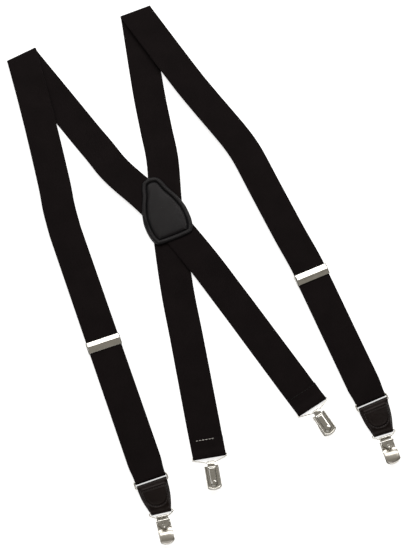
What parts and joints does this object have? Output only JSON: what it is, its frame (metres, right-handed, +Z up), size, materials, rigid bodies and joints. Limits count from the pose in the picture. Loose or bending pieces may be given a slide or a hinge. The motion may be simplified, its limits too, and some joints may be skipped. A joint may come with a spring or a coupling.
{
  "type": "suspenders",
  "caption": "Clip-on suspenders with a crossed back, elastic straps, a leather back patch, cam adjusters, leather tabs and cam clips, laid flat with the front straps folded over the back.",
  "frame": {"origin": "middle of the back patch, on the surface that the suspenders lie on", "axes": "+Z up from that surface; +Y towards the shoulder folds; +X towards the right-hand front end"},
  "size_m": [0.3851, 0.5543, 0.0076],
  "materials": {
    "webbing": "ribbed black elastic webbing, matte",
    "leather": "smooth black leather, satin",
    "padding": "black foam and board, matte",
    "nickel": "bright nickel plate",
    "steel": "satin nickel-plated steel",
    "nylon": "black moulded nylon"
  },
  "bodies": {
    "back": {"back_patch_face": "leather", "back_patch_padding": "padding", "back_patch_backing": "leather", "left_strap_back": "webbing", "left_strap_fold": "webbing", "right_strap_back": "webbing", "right_strap_fold": "webbing"},
    "left_front": {"left_strap_front": "webbing", "left_strap_run": "webbing"},
    "left_loop": {"left_strap_return": "webbing"},
    "left_adjuster": {"left_adjuster_frame": "steel", "left_adjuster_pin": "steel"},
    "left_adjuster_lever": {"left_adjuster_lever": "nickel"},
    "left_ring": {"left_ring": "nickel"},
    "left_tab": {"left_tab_face": "leather", "left_tab_padding": "padding", "left_tab_backing": "leather"},
    "right_front": {"right_strap_front": "webbing", "right_strap_run": "webbing"},
    "right_loop": {"right_strap_return": "webbing"},
    "right_adjuster": {"right_adjuster_frame": "steel", "right_adjuster_pin": "steel"},
    "right_adjuster_lever": {"right_adjuster_lever": "nickel"},
    "right_ring": {"right_ring": "nickel"},
    "right_tab": {"right_tab_face": "leather", "right_tab_padding": "padding", "right_tab_backing": "leather"},
    "left_front_wire": {"left_front_clip_wire": "nickel"},
    "left_front_clip": {"left_front_clip_base": "steel", "left_front_clip_lever_pin": "steel"},
    "left_front_lever": {"left_front_clip_lever": "nickel"},
    "left_front_jaw": {"left_front_clip_jaw": "nickel", "left_front_clip_grip": "nylon"},
    "right_front_wire": {"right_front_clip_wire": "nickel"},
    "right_front_clip": {"right_front_clip_base": "steel", "right_front_clip_lever_pin": "steel"},
    "right_front_lever": {"right_front_clip_lever": "nickel"},
    "right_front_jaw": {"right_front_clip_jaw": "nickel", "right_front_clip_grip": "nylon"},
    "left_back_wire": {"left_back_clip_wire": "nickel"},
    "left_back_clip": {"left_back_clip_base": "steel", "left_back_clip_lever_pin": "steel"},
    "left_back_lever": {"left_back_clip_lever": "nickel"},
    "left_back_jaw": {"left_back_clip_jaw": "nickel", "left_back_clip_grip": "nylon"},
    "right_back_wire": {"right_back_clip_wire": "nickel"},
    "right_back_clip": {"right_back_clip_base": "steel", "right_back_clip_lever_pin": "steel"},
    "right_back_lever": {"right_back_clip_lever": "nickel"},
    "right_back_jaw": {"right_back_clip_jaw": "nickel", "right_back_clip_grip": "nylon"}
  },
  "joints": [
    {"name": "left_shoulder_fold", "type": "hinge", "parent": "back", "child": "left_front", "pos_m": [-0.1437, 0.1656, 0.00245], "axis": [-0.8821, -0.471, 0], "range_deg": [0, 170], "deforming": ["left_strap_fold"]},
    {"name": "left_length", "type": "slide", "parent": "left_front", "child": "left_loop", "axis": [-0.3305, 0.9438, 0], "range_m": [-0.085, 0.035], "deforming": ["left_strap_run", "left_strap_return"]},
    {"name": "left_adjuster_slide", "type": "slide", "parent": "left_loop", "child": "left_adjuster", "axis": [-0.3305, 0.9438, 0], "range_m": [-0.085, 0.035]},
    {"name": "left_adjuster_lever_flip", "type": "hinge", "parent": "left_adjuster", "child": "left_adjuster_lever", "pos_m": [-0.05609, -0.13484, 0.006], "axis": [-0.9438, -0.3305, 0], "range_deg": [0, 100]},
    {"name": "left_ring_swing", "type": "hinge", "parent": "left_loop", "child": "left_ring", "pos_m": [-0.00921, -0.26872, 0.00245], "axis": [-0.9438, -0.3305, 0], "range_deg": [-45, 60]},
    {"name": "left_tab_swing", "type": "hinge", "parent": "left_ring", "child": "left_tab", "pos_m": [-0.00719, -0.27448, 0.00245], "axis": [-0.9438, -0.3305, 0], "range_deg": [-45, 60]},
    {"name": "right_shoulder_fold", "type": "hinge", "parent": "back", "child": "right_front", "pos_m": [-0.0284, 0.2145, 0.00245], "axis": [-0.9239, -0.3827, 0], "range_deg": [0, 170], "deforming": ["right_strap_fold"]},
    {"name": "right_length", "type": "slide", "parent": "right_front", "child": "right_loop", "axis": [-0.3955, 0.9184, 0], "range_m": [-0.085, 0.035], "deforming": ["right_strap_run", "right_strap_return"]},
    {"name": "right_adjuster_slide", "type": "slide", "parent": "right_loop", "child": "right_adjuster", "axis": [-0.3955, 0.9184, 0], "range_m": [-0.085, 0.035]},
    {"name": "right_adjuster_lever_flip", "type": "hinge", "parent": "right_adjuster", "child": "right_adjuster_lever", "pos_m": [0.14465, -0.0655, 0.006], "axis": [-0.9184, -0.3955, 0], "range_deg": [0, 100]},
    {"name": "right_ring_swing", "type": "hinge", "parent": "right_loop", "child": "right_ring", "pos_m": [0.19969, -0.1933, 0.00245], "axis": [-0.9184, -0.3955, 0], "range_deg": [-45, 60]},
    {"name": "right_tab_swing", "type": "hinge", "parent": "right_ring", "child": "right_tab", "pos_m": [0.20211, -0.1989, 0.00245], "axis": [-0.9184, -0.3955, 0], "range_deg": [-45, 60]},
    {"name": "left_front_wire_swing", "type": "hinge", "parent": "left_tab", "child": "left_front_wire", "pos_m": [0.00135, -0.3004, 0.002], "axis": [-0.9744, -0.225, 0], "range_deg": [-45, 45]},
    {"name": "left_front_clip_swing", "type": "hinge", "parent": "left_front_wire", "child": "left_front_clip", "pos_m": [0.00248, -0.30527, 0.00245], "axis": [-0.9744, -0.225, 0], "range_deg": [-45, 35]},
    {"name": "left_front_lever_lift", "type": "hinge", "parent": "left_front_clip", "child": "left_front_lever", "pos_m": [0.00351, -0.30975, 0.0062], "axis": [-0.9744, -0.225, 0], "range_deg": [0, 100]},
    {"name": "left_front_jaw_open", "type": "hinge", "parent": "left_front_clip", "child": "left_front_jaw", "pos_m": [0.00441, -0.31365, 0.00305], "axis": [-0.9744, -0.225, 0], "range_deg": [0, 25]},
    {"name": "right_front_wire_swing", "type": "hinge", "parent": "right_tab", "child": "right_front_wire", "pos_m": [0.21075, -0.2254, 0.002], "axis": [-0.9537, -0.3007, 0], "range_deg": [-45, 45]},
    {"name": "right_front_clip_swing", "type": "hinge", "parent": "right_front_wire", "child": "right_front_clip", "pos_m": [0.21225, -0.23017, 0.00245], "axis": [-0.9537, -0.3007, 0], "range_deg": [-45, 35]},
    {"name": "right_front_lever_lift", "type": "hinge", "parent": "right_front_clip", "child": "right_front_lever", "pos_m": [0.21364, -0.23456, 0.0062], "axis": [-0.9537, -0.3007, 0], "range_deg": [0, 100]},
    {"name": "right_front_jaw_open", "type": "hinge", "parent": "right_front_clip", "child": "right_front_jaw", "pos_m": [0.21484, -0.23837, 0.00305], "axis": [-0.9537, -0.3007, 0], "range_deg": [0, 25]},
    {"name": "left_back_wire_swing", "type": "hinge", "parent": "back", "child": "left_back_wire", "pos_m": [0.1436, -0.1997, 0.0021], "axis": [-0.8339, -0.5519, 0], "range_deg": [-45, 45]},
    {"name": "left_back_clip_swing", "type": "hinge", "parent": "left_back_wire", "child": "left_back_clip", "pos_m": [0.14746, -0.20554, 0.00515], "axis": [-0.8339, -0.5519, 0], "range_deg": [-45, 35]},
    {"name": "left_back_lever_lift", "type": "hinge", "parent": "left_back_clip", "child": "left_back_lever", "pos_m": [0.15, -0.20937, 0.0014], "axis": [0.8339, 0.5519, 0], "range_deg": [0, 100]},
    {"name": "left_back_jaw_open", "type": "hinge", "parent": "left_back_clip", "child": "left_back_jaw", "pos_m": [0.15221, -0.21271, 0.00455], "axis": [0.8339, 0.5519, 0], "range_deg": [0, 25]},
    {"name": "right_back_wire_swing", "type": "hinge", "parent": "back", "child": "right_back_wire", "pos_m": [0.0464, -0.2478, 0.0021], "axis": [-0.9854, -0.1702, 0], "range_deg": [-45, 45]},
    {"name": "right_back_clip_swing", "type": "hinge", "parent": "right_back_wire", "child": "right_back_clip", "pos_m": [0.04759, -0.2547, 0.00515], "axis": [-0.9854, -0.1702, 0], "range_deg": [-45, 35]},
    {"name": "right_back_lever_lift", "type": "hinge", "parent": "right_back_clip", "child": "right_back_lever", "pos_m": [0.04837, -0.25923, 0.0014], "axis": [0.9854, 0.1702, 0], "range_deg": [0, 100]},
    {"name": "right_back_jaw_open", "type": "hinge", "parent": "right_back_clip", "child": "right_back_jaw", "pos_m": [0.04906, -0.26317, 0.00455], "axis": [0.9854, 0.1702, 0], "range_deg": [0, 25]}
  ],
  "couplings": [
    {"joint": "left_adjuster_slide", "follows": "left_length", "ratio": 1},
    {"joint": "right_adjuster_slide", "follows": "right_length", "ratio": 1},
    {"joint": "left_front_jaw_open", "follows": "left_front_lever_lift", "ratio": 0.25},
    {"joint": "right_front_jaw_open", "follows": "right_front_lever_lift", "ratio": 0.25},
    {"joint": "left_back_jaw_open", "follows": "left_back_lever_lift", "ratio": 0.25},
    {"joint": "right_back_jaw_open", "follows": "right_back_lever_lift", "ratio": 0.25}
  ]
}
